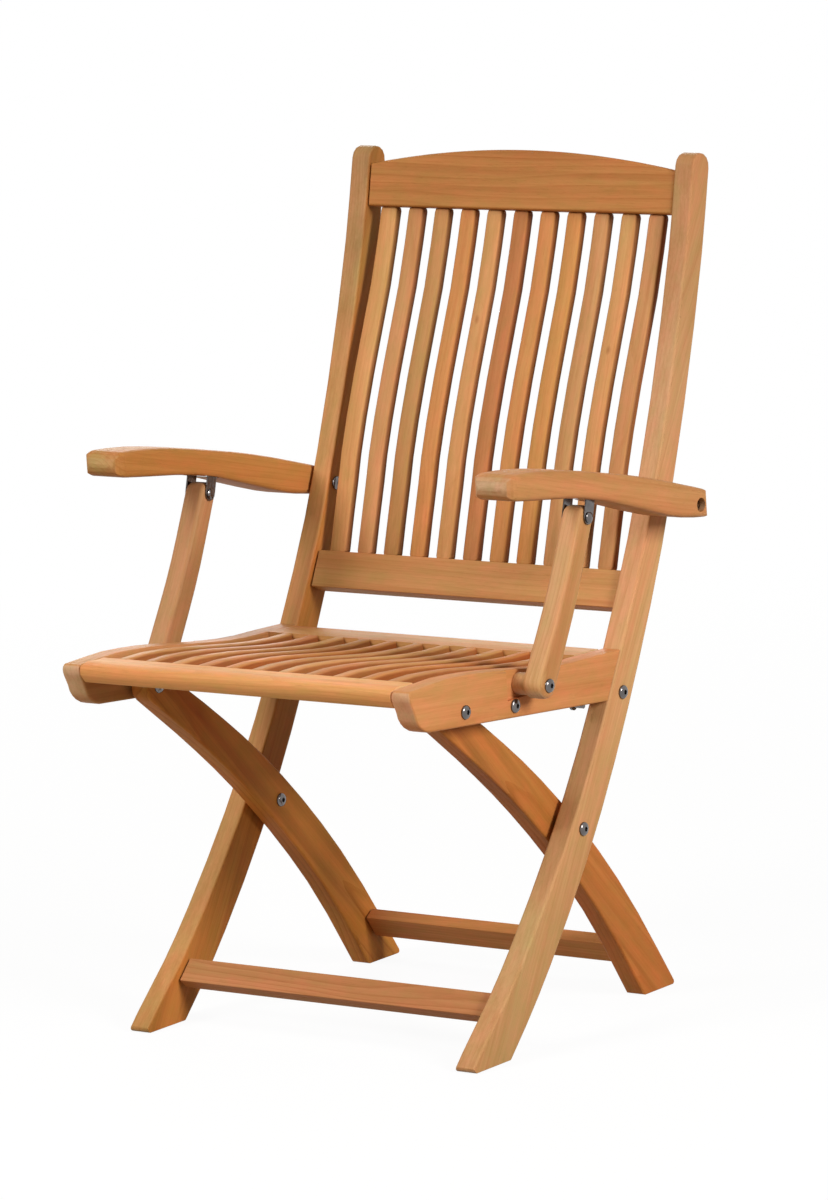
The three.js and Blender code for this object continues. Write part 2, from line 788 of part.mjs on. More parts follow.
for (const { name, sign } of sides) {
  const [low, high] = across(sign, armInner, armInner + armWidth);
  const [boreLow, boreHigh] = across(sign, armInner + armWidth - armBoreDepth, armInner + armWidth + cutOverrun);
  const solid = sideBoard(armOutline(), low, high, armEase, 2)
    .intersect(armPlan(sign))
    .subtract(boltHole(armPivot))
    .subtract(roundBar(armPivot, armBoreRadius, boreLow, boreHigh))
    .subtract(bracketRecess(sign));
  addPiece(`arm_${name}`, solid, 'teak');
}

// Arm supports, each with a round boss that stands in the pocket of the seat rail

const supportLine = (() => {
  const middle = supportPivot.clone().add(bracketPivot).multiplyScalar(0.5);
  middle.x += supportBow;
  const knots = [supportPivot, middle, bracketPivot].map((p, i) => (
    new THREE.Vector3(p.x, p.y, supportWidth * supportWidthShares[i])
  ));
  return new THREE.CatmullRomCurve3(knots, false, 'centripetal');
})();

for (const { name, sign } of sides) {
  const [low, high] = across(sign, supportInner, supportOuter);
  const [bossLow, bossHigh] = across(sign, postOuter - pocketDepth + fitGap, supportInner + supportThickness / 2);
  const solid = sideBoard(barOutline(supportLine, supportSteps, true, true), low, high, supportEase, 2)
    .add(roundBar(supportPivot, supportBossRadius, bossLow, bossHigh))
    .subtract(boltHole(supportPivot))
    .subtract(boltHole(bracketPivot));
  addPiece(`arm_support_${name}`, solid, 'teak');
}

// Bolts with a domed head at one or both ends, turned about their own axis. Each is drawn pointing up
// and laid along X, with its outer head away from the middle of the chair.

const boltForm = { radius: headRadius, height: headHeight, innerHead: true };
const halfBoltForm = { ...boltForm, innerHead: false };
const pinForm = { radius: pinHeadRadius, height: pinHeadHeight, innerHead: false, seated: true };

function domePoints(base, direction, radius, height) {
  const points = [new THREE.Vector2(radius, base), new THREE.Vector2(radius, base + direction * headRim)];
  for (let i = 1; i < domeSteps; i++) {
    const angle = (i / domeSteps) * (Math.PI / 2);
    const rise = headRim + (height - headRim) * Math.sin(angle);
    points.push(new THREE.Vector2(radius * Math.cos(angle), base + direction * rise));
  }
  return [...points, new THREE.Vector2(0, base + direction * height)];
}

function domedPin(sign, pivot, innerFace, outerFace, form) {
  const gap = form.seated ? 0 : fitGap;
  const low = form.innerHead ? innerFace - gap : innerFace;
  const high = outerFace + gap;
  const start = form.innerHead ? domePoints(low, -1, form.radius, form.height).reverse()
    : [new THREE.Vector2(0, low)];
  const profile = [
    ...start, new THREE.Vector2(shankRadius, low), new THREE.Vector2(shankRadius, high),
    ...domePoints(high, 1, form.radius, form.height),
  ];
  const geometry = new THREE.LatheGeometry(profile, roundFacets);
  geometry.rotateZ(-sign * Math.PI / 2);
  geometry.translate(0, pivot.x, pivot.y);
  return toSolid(geometry);
}

// Brackets under the arms: a base plate and two ears, with a pin riveted into each ear

function bracketSolid(sign) {
  const [low, high] = across(sign, earInner, earOuter);
  const base = sideBoard(turnedBox(bracketBase, bracketAlong, bracketBaseLength, bracketPlate), low, high);
  const earCentre = bracketBase.clone().add(bracketPivot).multiplyScalar(0.5);
  const earLength = bracketBase.distanceTo(bracketPivot);
  const ear = sideBoard(turnedBox(earCentre, bracketDown, earLength, bracketEarWidth), low, high)
    .add(roundBar(bracketPivot, bracketEarWidth / 2, low, high));
  const [slotLow, slotHigh] = across(sign, supportInner - bracketSideGap, supportOuter + bracketSideGap);
  const slotCentre = bracketPivot.clone().addScaledVector(bracketDown, bracketPlate / 2);
  const slotLength = 2 * (bracketBase.distanceTo(slotCentre) - bracketPlate / 2);
  const slot = sideBoard(turnedBox(slotCentre, bracketDown, slotLength, 2 * bracketBaseLength), slotLow, slotHigh);
  const outerPin = domedPin(sign, bracketPivot, supportOuter + bracketSideGap, earOuter, pinForm);
  const innerPin = domedPin(-sign, bracketPivot, bracketSideGap - supportInner, -earInner, pinForm);
  return base.add(ear.subtract(slot)).add(outerPin).add(innerPin);
}
for (const { name, sign } of sides) addPiece(`arm_bracket_${name}`, bracketSolid(sign), 'steel');

// Straps inside the seat rails, each with a stud that carries the rail from below

const studPlace = (() => {
  const y = strapPivot.x - studSetForward;
  return new THREE.Vector2(y, railBottomAt(y) - fitGap - studRadius);
})();

function strapSolid(sign) {
  const outer = postInner - fitGap;
  const inner = outer - strapThickness;
  const [low, high] = across(sign, inner, outer);
  const centre = linkPivot.clone().add(strapPivot).multiplyScalar(0.5);
  const length = linkPivot.distanceTo(strapPivot);
  const [studLow, studHigh] = across(sign, inner, postInner + studReach);
  return sideBoard(turnedBox(centre, strapDirection, length, strapWidth), low, high)
    .add(roundBar(linkPivot, strapWidth / 2, low, high))
    .add(roundBar(strapPivot, strapWidth / 2, low, high))
    .add(roundBar(studPlace, studEarRadius, low, high))
    .add(roundBar(studPlace, studRadius, studLow, studHigh))
    .subtract(boltHole(linkPivot))
    .subtract(boltHole(strapPivot));
}
for (const { name, sign } of sides) addPiece(`seat_strap_${name}`, strapSolid(sign), 'steel');

for (const { name, sign } of sides) {
  const strapFace = postInner - fitGap - strapThickness;
  const armFloor = armInner + armWidth - armBoreDepth;
  const addBolt = (piece, pivot, inner, outer, form = boltForm) => (
    addPiece(`${piece}_${name}`, domedPin(sign, pivot, inner, outer, form), 'steel')
  );
  addBolt('cross_bolt', crossPivot, legInner, postOuter);
  addBolt('strap_bolt', strapPivot, strapFace, postOuter);
  addBolt('link_bolt', linkPivot, strapFace, postOuter);
  addBolt('support_bolt', supportPivot, postInner, supportOuter);
  addBolt('arm_bolt', armPivot, postInner, armFloor);
  addBolt('seat_bolt', seatPivot, postInner + fitGap, postOuter, halfBoltForm);
}

// Spacers that keep the rear legs off the posts and the seat rails. The one at the seat carries the inner
// half of its bolt, which runs through the leg to a domed nut.

for (const { name, sign } of sides) {
  const [low, high] = across(sign, legOuter + fitGap, postInner - fitGap);
  const ring = roundBar(crossPivot, spacerRadius, low, high).subtract(boltHole(crossPivot));
  addPiece(`cross_spacer_${name}`, ring, 'steel');
  const nut = domedPin(-sign, seatPivot, -legOuter - fitGap, -legInner, halfBoltForm);
  addPiece(`leg_stud_${name}`, roundBar(seatPivot, spacerRadius, low, high).add(nut), 'steel');
}

// The origin is on the floor, under the middle of the chair

const bounds = new THREE.Box3().setFromObject(chair);
chair.position.y = -(bounds.min.y + bounds.max.y) / 2;

export default chair;
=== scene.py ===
import json
import math
import random

import bmesh
import bpy
from mathutils import Matrix, Vector


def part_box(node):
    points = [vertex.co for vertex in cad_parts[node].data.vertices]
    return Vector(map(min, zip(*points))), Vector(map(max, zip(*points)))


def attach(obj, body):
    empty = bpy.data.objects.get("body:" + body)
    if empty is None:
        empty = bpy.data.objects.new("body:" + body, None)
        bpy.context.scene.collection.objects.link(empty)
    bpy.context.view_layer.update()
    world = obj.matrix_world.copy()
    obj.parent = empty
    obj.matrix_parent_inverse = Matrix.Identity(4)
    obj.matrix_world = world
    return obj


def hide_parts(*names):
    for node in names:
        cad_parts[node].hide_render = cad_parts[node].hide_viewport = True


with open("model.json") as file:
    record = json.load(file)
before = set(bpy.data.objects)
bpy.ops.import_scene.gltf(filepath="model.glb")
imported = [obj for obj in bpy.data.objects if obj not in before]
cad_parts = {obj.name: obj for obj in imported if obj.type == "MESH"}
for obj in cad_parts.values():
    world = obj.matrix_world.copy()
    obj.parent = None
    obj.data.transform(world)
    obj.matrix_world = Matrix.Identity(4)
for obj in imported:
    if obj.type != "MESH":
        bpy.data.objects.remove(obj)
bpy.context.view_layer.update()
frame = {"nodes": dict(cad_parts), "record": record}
nodes = frame["nodes"]
bodies = frame["record"]["behaviour"]["bodies"]
body_of = {node: body for body, names in bodies.items() for node in names}

X = Vector((1, 0, 0))
Y = Vector((0, 1, 0))
Z = Vector((0, 0, 1))


# Camera: the photograph's viewing angle, with the slight roll of its frame

AZIMUTH = 37.30
ELEVATION = 10.18
ROLL = -3.50
CAMERA_PLACE = (4.643, -6.0664, 1.854)
SENSOR = 36
FOCAL_PIXELS = 6701
FRAME_HEIGHT_PIXELS = 1200
CLIP_START = 0.1
CLIP_END = 100


def make_camera():
    azimuth = math.radians(AZIMUTH)
    elevation = math.radians(ELEVATION)
    roll = math.radians(ROLL)
    back = Vector((math.sin(azimuth) * math.cos(elevation), -math.cos(azimuth) * math.cos(elevation),
                   math.sin(elevation)))
    level = Vector((math.cos(azimuth), math.sin(azimuth), 0))
    upright = back.cross(level)
    right = math.cos(roll) * level + math.sin(roll) * upright
    up = math.cos(roll) * upright - math.sin(roll) * level
    data = bpy.data.cameras.new("camera")
    data.sensor_width = SENSOR
    data.lens = SENSOR * FOCAL_PIXELS / FRAME_HEIGHT_PIXELS
    data.clip_start = CLIP_START
    data.clip_end = CLIP_END
    camera = bpy.data.objects.new("camera", data)
    turn = Matrix((right, up, back)).transposed().to_4x4()
    camera.matrix_world = Matrix.Translation(CAMERA_PLACE) @ turn
    bpy.context.collection.objects.link(camera)
    bpy.context.scene.camera = camera


make_camera()


# Node helpers

class Graph:
    """A small helper that adds shader nodes and links them."""

    def __init__(self, tree):
        self.tree = tree
        tree.nodes.clear()

    def add(self, kind, inputs=None, **settings):
        node = self.tree.nodes.new(kind)
        for key, value in settings.items():
            setattr(node, key, value)
        for key, value in (inputs or {}).items():
            if isinstance(value, bpy.types.NodeSocket):
                self.tree.links.new(value, node.inputs[key])
            else:
                node.inputs[key].default_value = value
        return node

    def math(self, operation, a, b=None, c=None, clamp=False):
        inputs = {i: v for i, v in enumerate((a, b, c)) if v is not None}
        return self.add("ShaderNodeMath", inputs, operation=operation, use_clamp=clamp).outputs[0]

    def vector(self, operation, a, b=None):
        inputs = {i: v for i, v in enumerate((a, b)) if v is not None}
        node = self.add("ShaderNodeVectorMath", inputs, operation=operation)
        return node.outputs["Value"] if operation in ("LENGTH", "DOT_PRODUCT") else node.outputs["Vector"]

    def scaled_noise(self, vector, scales, detail=2.0, roughness=0.5):
        """Noise that is stretched by its own scale along each axis."""
        place = self.vector("MULTIPLY", vector, scales)
        return self.add("ShaderNodeTexNoise", {"Vector": place, "Scale": 1.0, "Detail": detail,
                                               "Roughness": roughness}).outputs["Fac"]

    def mix(self, factor, a, b, blend="MIX"):
        node = self.add("ShaderNodeMix", data_type="RGBA", blend_type=blend)
        for name, kind, value in (("Factor", "VALUE", factor), ("A", "RGBA", a), ("B", "RGBA", b)):
            socket = next(s for s in node.inputs if s.name == name and s.type == kind)
            if isinstance(value, bpy.types.NodeSocket):
                self.tree.links.new(value, socket)
            else:
                socket.default_value = value
        return next(s for s in node.outputs if s.type == "RGBA")

    def tint(self, colour, factors):
        """A colour multiplied by three factors."""
        return self.mix(1.0, colour, (*factors, 1), "MULTIPLY")

    def between(self, amount, colour, tints):
        """A colour that goes from its first tint to its second as the amount goes from 0 to 1."""
        return self.mix(amount, self.tint(colour, tints[0]), self.tint(colour, tints[1]))

    def darken(self, amount, colour, factors):
        """A colour moved towards its tinted self by an amount from 0 to 1."""
        return self.mix(amount, colour, self.tint(colour, factors))

    def remap(self, value, low, high, to_low=0.0, to_high=1.0):
        return self.add("ShaderNodeMapRange", {"Value": value, "From Min": low, "From Max": high,
                                               "To Min": to_low, "To Max": to_high}).outputs["Result"]

    def ramp(self, value, stops):
        """A colour from stops, each a place from 0 to 1 with three factors of at most 1."""
        node = self.add("ShaderNodeValToRGB", {"Fac": value})
        elements = node.color_ramp.elements
        while len(elements) < len(stops):
            elements.new(0.5)
        for element, (place, factors) in zip(elements, stops):
            element.position = place
            element.color = (*factors, 1)
        return node.outputs["Color"]

    def surface(self, shader):
        out = self.add("ShaderNodeOutputMaterial")
        self.tree.links.new(shader, out.inputs["Surface"])


def new_material(name):
    material = bpy.data.materials.new(name)
    material.use_nodes = True
    return material, Graph(material.node_tree)


def linear(red, green, blue):
    """An sRGB colour, 0 to 255, as a linear RGBA value."""
    def channel(v):
        v /= 255
        return v / 12.92 if v <= 0.04045 else ((v + 0.055) / 1.055) ** 2.4
    return (channel(red), channel(green), channel(blue), 1.0)


# Teak, as a solid texture that is laid along each piece's grain

TONES = {
    "sand": (209, 161, 115),
    "tan": (203, 150, 95),
    "honey": (205, 147, 94),
    "butter": (226, 164, 103),
    "straw": (201, 149, 93),
    "peach": (198, 142, 93),
    "orange": (205, 138, 82),
    "amber": (199, 136, 76),
    "brown": (183, 132, 80),
    "walnut": (186, 129, 84),
    "pink": (183, 121, 72),
    "clay": (184, 139, 96),
    "chestnut": (184, 127, 68),
    "crest": (185, 125, 68),
    "leg": (191, 122, 62),
    # A lighter, more saturated copy of the leg's tone: painted light for the rear leg whose inner face
    # stands in shade
    "leg_painted_light": (205, 136, 64),
    "rust": (208, 142, 91),
}

# Layers of noise in the wood: scale along the grain, scale across it, detail and roughness
LAYERS = {
    "wave": (1.5, 8.0, 2.0, 0.45),
    "ripple": (6.0, 50.0, 2.0, 0.5),
    "unevenness": (0.8, 24.0, 1.0, 0.5),
    "strength": (1.1, 16.0, 1.0, 0.5),
    "fibre": (12.0, 620.0, 3.0, 0.6),
    "pores": (80.0, 2300.0, 1.0, 0.5),
    "tonal": (2.4, 13.0, 2.0, 0.5),
    "hue": (1.7, 30.0, 2.0, 0.5),
    "streak": (1.6, 85.0, 3.0, 0.55),
    "mottle": (30.0, 75.0, 2.0, 0.6),
    "core": (0.9, 26.0, 2.0, 0.5),
}

# Where the effect of a layer begins and ends, as values of its noise
SPANS = {
    "strength": (0.3, 0.7),
    "fibre": (0.3, 0.75),
    "pores": (0.64, 0.74),
    "tonal": (0.3, 0.7),
    "hue": (0.34, 0.66),
    "streak": (0.42, 0.72),
    "mottle": (0.3, 0.7),
    "core": (0.52, 0.66),
}

# Growth rings: their bends in metres, their unevenness, and each ring's slow rise and dark line
WAVE_BEND = 0.05
RIPPLE_BEND = 0.0026
UNEVENNESS = 2.4
RISE_POWER = 1.8
RISE_SHARE = 0.55
LINE_PLACE = 0.9
LINE_POWER = 14.0
LINE_SHARE = 0.45
FAINTEST_RINGS = 0.15

# A knot: its oval form, its push on the rings, and the reach of the push and of the dark core, in metres
KNOT_OVAL = (0.6, 1.0, 0.0)
KNOT_PUSH = 0.006
KNOT_REACH = 0.014
KNOT_CORE = (0.0008, 0.0040)
KNOT_DARKNESS = 0.75

# Tints as factors of red, green and blue, and how strongly each is laid on
HUE_TINTS = ((0.95, 1.03, 0.98), (1.05, 0.96, 0.95))
TONAL_TINTS = ((0.91, 0.88, 0.82), (1.06, 1.07, 1.09))
MOTTLE_TINTS = ((0.93, 1.01, 0.94), (1.07, 0.99, 1.06))
RING_TINT = (0.74, 0.62, 0.46)
STREAK_TINT = (0.84, 0.76, 0.66)
STREAK_AMOUNT = 0.75
HEART_TINT = (0.52, 0.44, 0.40)
FIBRE_TINT = (0.80, 0.72, 0.64)
FIBRE_AMOUNT = 0.5
PORE_TINT = (0.55, 0.45, 0.36)
PORE_AMOUNT = 0.30
KNOT_TINT = (0.62, 0.50, 0.40)
END_GRAIN_TINT = (1.05, 1.40, 2.15)
END_GRAIN_AMOUNT = 0.85

# How squarely a face looks along X, or along the grain, for its tint to begin and to be full.
# The tint of faces that look along X is painted shade.
SIDE_SHADE_SPAN = (0.5, 0.95)
END_GRAIN_SPAN = (0.6, 0.95)

# Surface of the wood: roughness between and on the fibres, more on the rings, and the depth of the relief
FIBRE_ROUGHNESS_SPAN = (0.2, 0.8)
FIBRE_ROUGHNESS = (0.50, 0.64)
RING_ROUGHNESS = 0.06
PORE_RELIEF = -0.8
FIBRE_RELIEF = 0.5
RING_RELIEF = -0.35
WOOD_BUMP = {"Strength": 0.35, "Distance": 0.0004}
WOOD_SPECULAR = 0.16

# Furthest shift of the texture along the grain, in metres, so that no two pieces are alike
WOOD_SHIFT = 5


def grain_axes(along, normal):
    """A turn that lays the grain along x and the face's normal along z."""
    along = along.normalized()
    normal = (normal - normal.dot(along) * along).normalized()
    return Matrix((along, normal.cross(along), normal))


def turned(g, coords, turn, shift):
    return g.add("ShaderNodeMapping", {"Vector": coords.outputs["Object"], "Location": shift,
                                       "Rotation": turn.to_euler("XYZ")}, vector_type="POINT").outputs[0]


def grain_noise(g, place, layer):
    along, across, detail, roughness = LAYERS[layer]
    return g.scaled_noise(place, (along, across, across), detail, roughness)


def growth_rings(g, place, spacing, push):
    """A value from 0 in early wood to 1 at the late wood's dark line, bent by slow waves."""
    wave = grain_noise(g, place, "wave")
    ripple = grain_noise(g, place, "ripple")
    radius = g.vector("LENGTH", g.vector("MULTIPLY", place, (0.0, 1.0, 1.0)))
    radius = g.math("MULTIPLY_ADD", g.math("SUBTRACT", wave, 0.5), WAVE_BEND, radius)
    radius = g.math("MULTIPLY_ADD", g.math("SUBTRACT", ripple, 0.5), RIPPLE_BEND, radius)
    if push is not None:
        radius = g.math("ADD", radius, push)
    uneven = grain_noise(g, place, "unevenness")
    phase = g.math("FRACT", g.math("MULTIPLY_ADD", uneven, UNEVENNESS, g.math("DIVIDE", radius, spacing)))
    rise = g.math("POWER", phase, RISE_POWER)
    off_line = g.math("ABSOLUTE", g.math("SUBTRACT", phase, LINE_PLACE))
    line = g.math("POWER", g.math("SUBTRACT", 1.0, off_line), LINE_POWER)
    rings = g.math("MULTIPLY_ADD", line, LINE_SHARE, g.math("MULTIPLY", rise, RISE_SHARE), clamp=True)
    strength = g.remap(grain_noise(g, place, "strength"), *SPANS["strength"], FAINTEST_RINGS, 1.0)
    return g.math("MULTIPLY", rings, strength)


def knot_distance(g, coords, turn, point):
    """Distance from a knot's axis, which runs through the face, shortened along the grain."""
    near = turned(g, coords, turn, -(turn @ point))
    return g.vector("LENGTH", g.vector("MULTIPLY", near, KNOT_OVAL))


def teak(name, box, along, normal, tone, seed, spacing=0.0045, contrast=0.45, pith=0.06, swing=0.35,
         heart=0.0, turn_rings=math.pi / 2, knot=None, side_shade=None, height_shade=None):
    """Teak for one board: growth rings round a pith beside it, long streaks, fine fibres and pores, slow
    changes of tone, and paler, greyer end grain. The side shade is painted shade, a tint of the faces that
    look along X, the height shade is painted shade, a row of tints up the board's height, and the knot a
    place in its box, as shares of it."""
    rng = random.Random(seed)
    material, g = new_material(name)
    low, high = box
    centre = (low + high) / 2
    turn = grain_axes(along, normal)
    angle = turn_rings + rng.uniform(-swing, swing)
    along_grain = rng.uniform(-WOOD_SHIFT, WOOD_SHIFT)
    shift = Vector((along_grain, pith * math.cos(angle), pith * math.sin(angle))) - turn @ centre
    coords = g.add("ShaderNodeTexCoord")
    place = turned(g, coords, turn, shift)
    distance = None
    push = None
    if knot:
        point = Vector(low[i] + (high[i] - low[i]) * knot[i] for i in range(3))
        distance = knot_distance(g, coords, turn, point)
        push = g.remap(distance, 0.0, KNOT_REACH, KNOT_PUSH, 0.0)
    rings = growth_rings(g, place, spacing, push)
    fibre = grain_noise(g, place, "fibre")
    pores = g.remap(grain_noise(g, place, "pores"), *SPANS["pores"])
    tonal = grain_noise(g, place, "tonal")
    hue = grain_noise(g, place, "hue")
    streak = grain_noise(g, place, "streak")
    mottle = grain_noise(g, place, "mottle")

    colour = g.between(g.remap(hue, *SPANS["hue"]), linear(*TONES[tone]), HUE_TINTS)
    colour = g.between(g.remap(tonal, *SPANS["tonal"]), colour, TONAL_TINTS)
    colour = g.between(g.remap(mottle, *SPANS["mottle"]), colour, MOTTLE_TINTS)
    colour = g.darken(g.math("MULTIPLY", rings, contrast), colour, RING_TINT)
    colour = g.darken(g.remap(streak, *SPANS["streak"], 0.0, STREAK_AMOUNT), colour, STREAK_TINT)
    if heart:
        core = grain_noise(g, place, "core")
        colour = g.darken(g.remap(core, *SPANS["core"], 0.0, heart), colour, HEART_TINT)
    colour = g.darken(g.remap(fibre, *SPANS["fibre"], 0.0, FIBRE_AMOUNT), colour, FIBRE_TINT)
    colour = g.darken(g.math("MULTIPLY", pores, PORE_AMOUNT), colour, PORE_TINT)
    if knot:
        colour = g.darken(g.remap(distance, *KNOT_CORE, KNOT_DARKNESS, 0.0), colour, KNOT_TINT)
    # Painted shade up the board's height, darker where less light falls
    if height_shade:
        height = g.add("ShaderNodeSeparateXYZ", {"Vector": coords.outputs["Object"]}).outputs["Z"]
        colour = g.mix(1.0, colour, g.ramp(g.remap(height, low.z, high.z), height_shade), "MULTIPLY")
    # Painted shade on the faces that look along X, such as the slats' sides and the posts' inner faces
    if side_shade:
        facing = g.math("ABSOLUTE", g.vector("DOT_PRODUCT", coords.outputs["Normal"], tuple(X)))
        colour = g.darken(g.remap(facing, *SIDE_SHADE_SPAN), colour, side_shade)
    # Where the saw cut across the fibres the wood is paler and greyer
    end = g.math("ABSOLUTE", g.vector("DOT_PRODUCT", coords.outputs["Normal"], tuple(along.normalized())))
    colour = g.darken(g.remap(end, *END_GRAIN_SPAN, 0.0, END_GRAIN_AMOUNT), colour, END_GRAIN_TINT)

    rough = g.remap(fibre, *FIBRE_ROUGHNESS_SPAN, *FIBRE_ROUGHNESS)
    rough = g.math("MULTIPLY_ADD", rings, RING_ROUGHNESS, rough)
    height = g.math("MULTIPLY_ADD", pores, PORE_RELIEF, g.math("MULTIPLY", fibre, FIBRE_RELIEF))
    height = g.math("MULTIPLY_ADD", rings, RING_RELIEF, height)
    bump = g.add("ShaderNodeBump", {"Height": height, **WOOD_BUMP})
    g.surface(g.add("ShaderNodeBsdfPrincipled", {
        "Base Color": colour,
        "Roughness": rough,
        "Normal": bump.outputs[0],
        "Specular IOR Level": WOOD_SPECULAR,
    }).outputs[0])
    return material


# Stainless steel: fine scratches and faint clouds

STEEL_TONE = (104, 100, 99)
STEEL_CLOUD = (1.25, 1.25, 1.24)
STEEL_ROUGHNESS = (0.10, 0.22)
STEEL_BUMP = {"Strength": 0.12, "Distance": 0.0002}
SCRATCH_SCALES = (900.0, 900.0, 900.0)
SCRATCH_DETAIL = 3.0
SCRATCH_FINENESS = 0.6
SCRATCH_SPAN = (0.3, 0.7)
CLOUD_SCALES = (120.0, 120.0, 120.0)
CLOUD_SPAN = (0.35, 0.65)
# Painted shade for steel that stands deep in a bore: its tint and the width of its edge
BORE_SHADE_TINT = (0.20, 0.16, 0.14)
BORE_SHADE_EDGE = 0.01
STEEL_SHIFT = 3


def steel(name, seed, painted_shade_beyond=None):
    """Steel, with painted shade beyond a distance from the chair's middle plane if one is given."""
    material, g = new_material(name)
    coords = g.add("ShaderNodeTexCoord")
    rng = random.Random(seed)
    shift = tuple(rng.uniform(-STEEL_SHIFT, STEEL_SHIFT) for _ in range(3))
    place = g.vector("ADD", coords.outputs["Object"], shift)
    scratch = g.scaled_noise(place, SCRATCH_SCALES, SCRATCH_DETAIL, SCRATCH_FINENESS)
    cloud = g.scaled_noise(place, CLOUD_SCALES)
    metal = linear(*STEEL_TONE)
    colour = g.mix(g.remap(cloud, *CLOUD_SPAN), metal, g.tint(metal, STEEL_CLOUD))
    # Painted shade on the steel beyond the given distance, where it stands deep in its bore
    if painted_shade_beyond:
        out = g.add("ShaderNodeSeparateXYZ", {"Vector": coords.outputs["Object"]}).outputs["X"]
        out = g.remap(g.math("ABSOLUTE", out), painted_shade_beyond, painted_shade_beyond + BORE_SHADE_EDGE)
        colour = g.darken(out, colour, BORE_SHADE_TINT)
    bump = g.add("ShaderNodeBump", {"Height": scratch, **STEEL_BUMP})
    g.surface(g.add("ShaderNodeBsdfPrincipled", {
        "Base Color": colour,
        "Metallic": 1.0,
        "Roughness": g.remap(scratch, *SCRATCH_SPAN, *STEEL_ROUGHNESS),
        "Normal": bump.outputs[0],
    }).outputs[0])
    return material


# Pieces

def add_piece(name, mesh, node, material):
    obj = bpy.data.objects.new(name, mesh)
    bpy.context.collection.objects.link(obj)
    mesh.materials.append(material)
    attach(obj, body_of[node])
    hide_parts(node)
    return obj


NORMAL_WEIGHT = 80


def weight_normals(obj):
    weight = obj.modifiers.new("weighted_normals", "WEIGHTED_NORMAL")
    weight.keep_sharp = True
    weight.weight = NORMAL_WEIGHT


def side_span(node):
    """Sign of a node's side, its inner and outer faces measured outwards, and its middle in side view."""
    low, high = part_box(node)
    sign = 1 if low.x + high.x > 0 else -1
    inner, outer = (low.x, high.x) if sign > 0 else (-high.x, -low.x)
    return sign, inner, outer, ((low.y + high.y) / 2, (low.z + high.z) / 2)


# Points round each ring of a turned form
ROUND = 48


def ring(radius, angle, hexagon=False):
    """A point of a round or six-sided ring, square to the bolt's axis."""
    if hexagon:
        radius = radius / math.cos((angle % (math.pi / 3)) - math.pi / 6)
    return radius * math.cos(angle), radius * math.sin(angle)


# Small departures of the boards from the plain solids, with lengths in metres

# Points closer than this are one point, and points this close to a cut lie on it
SAME_POINT = 1e-6
ON_CUT = 1e-5
# Points lower than this are on the floor
ON_FLOOR = 0.001
# Least share of a face's normal that looks back, and least share of an edge's length that runs along X
FACING_BACK_SHARE = 0.8
ALONG_X_SHARE = 0.9
# Steps of a rounded corner, and radii of a post's foot and an arm's rear end, front or higher one first
ARC_STEPS = 5
FOOT_RADII = (0.005, 0.008)
ARM_END_RADII = (0.006, 0.003)
# Width of a slat's eased side with a margin, and how far the sides of the slats move out
SLAT_EASE = 0.0036
SLAT_MARGIN = 0.001
SLAT_GROWTH = 0.001
OUTER_SLAT_GROWTH = 0.0035
# Height of the front rail's underside above its lowest point, and how far it is raised
FRONT_RAIL_UNDERSIDE = 0.0045
FRONT_RAIL_LIFT = 0.0035
# The bore's lining: its inner radius, its wall, and its two ends behind the arm's outer face
BORE_RADIUS = 0.0082
BORE_WALL = 0.0016
BORE_MOUTH = 0.0002
BORE_DEPTH = 0.0070
# The arm's tip: its length, the cuts across it, and the shares of width and height that it loses
TIP_REACH = 0.020
TIP_STEPS = 7
TIP_NARROWING_SHARE = 0.14
TIP_THINNING_SHARE = 0.52
# Middle of the seat's nose in the side view, as Y and Z
NOSE_MIDDLE = (-0.283, 0.430)
# Degrees above the forward direction, reach of the plain solid and reach wanted, both in millimetres
NOSE_PROFILE = (
    (90, 22.5, 22.5), (70, 22.9, 24.3), (55, 24.7, 28.9), (42, 27.9, 34.8), (35, 30.6, 37.4),
    (29, 33.6, 37.8), (23, 35.1, 36.7), (15, 35.3, 33.8), (2, 29.6, 30.4), (-15, 26.7, 27.4),
    (-33, 28.0, 27.0), (-52, 29.2, 27.5), (-72, 30.1, 28.8), (-90, 30.5, 30.5),
)


def everything(bm):
    return bm.verts[:] + bm.edges[:] + bm.faces[:]


def corner_centre(point, first, second, radius):
    """Centre of the arc that touches two faces meeting in a corner, in the side view."""
    a = first.dot(point) - radius
    b = second.dot(point) - radius
    size = first.y * second.z - first.z * second.y
    return Vector((0, (a * second.z - b * first.z) / size, (first.y * b - second.y * a) / size))


def round_corner(bm, point, first, second, radius):
    """Cuts a corner that runs along X with planes that touch an arc between its two faces."""
    point = Vector((0, point.y, point.z))
    centre = corner_centre(point, first, second, radius)
    for i in range(1, ARC_STEPS):
        normal = first.slerp(second, i / ARC_STEPS)
        cut = bmesh.ops.bisect_plane(bm, geom=everything(bm), dist=SAME_POINT, clear_outer=True,
                                     plane_co=centre + radius * normal, plane_no=normal)
        edges = [e for e in cut["geom_cut"] if isinstance(e, bmesh.types.BMEdge)]
        bmesh.ops.contextual_create(bm, geom=edges)


def round_ends_of(bm, face, radii):
    """Rounds the edges along X of a square-cut end, the one that is further forward or higher first."""
    corners = []
    for edge in face.edges:
        a, b = (v.co for v in edge.verts)
        if abs(a.x - b.x) > ALONG_X_SHARE * (a - b).length:
            other = next(f for f in edge.link_faces if f is not face)
            corners.append(((a + b) / 2, other.normal.copy()))
    corners.sort(key=lambda corner: corner[0].y - corner[0].z)
    own = face.normal.copy()
    for (point, normal), radius in zip(corners, radii):
        round_corner(bm, point, normal, own, radius)


def sole_area(face):
    """Area that a face lays on the floor, or 0 for a face that isn't there."""
    return -face.normal.z * face.calc_area() if face.calc_center_median().z < ON_FLOOR else 0


def back_end_area(face):
    """Area that a face turns to the back, or 0 for a face that looks elsewhere."""
    return face.normal.y * face.calc_area() if face.normal.y > FACING_BACK_SHARE else 0


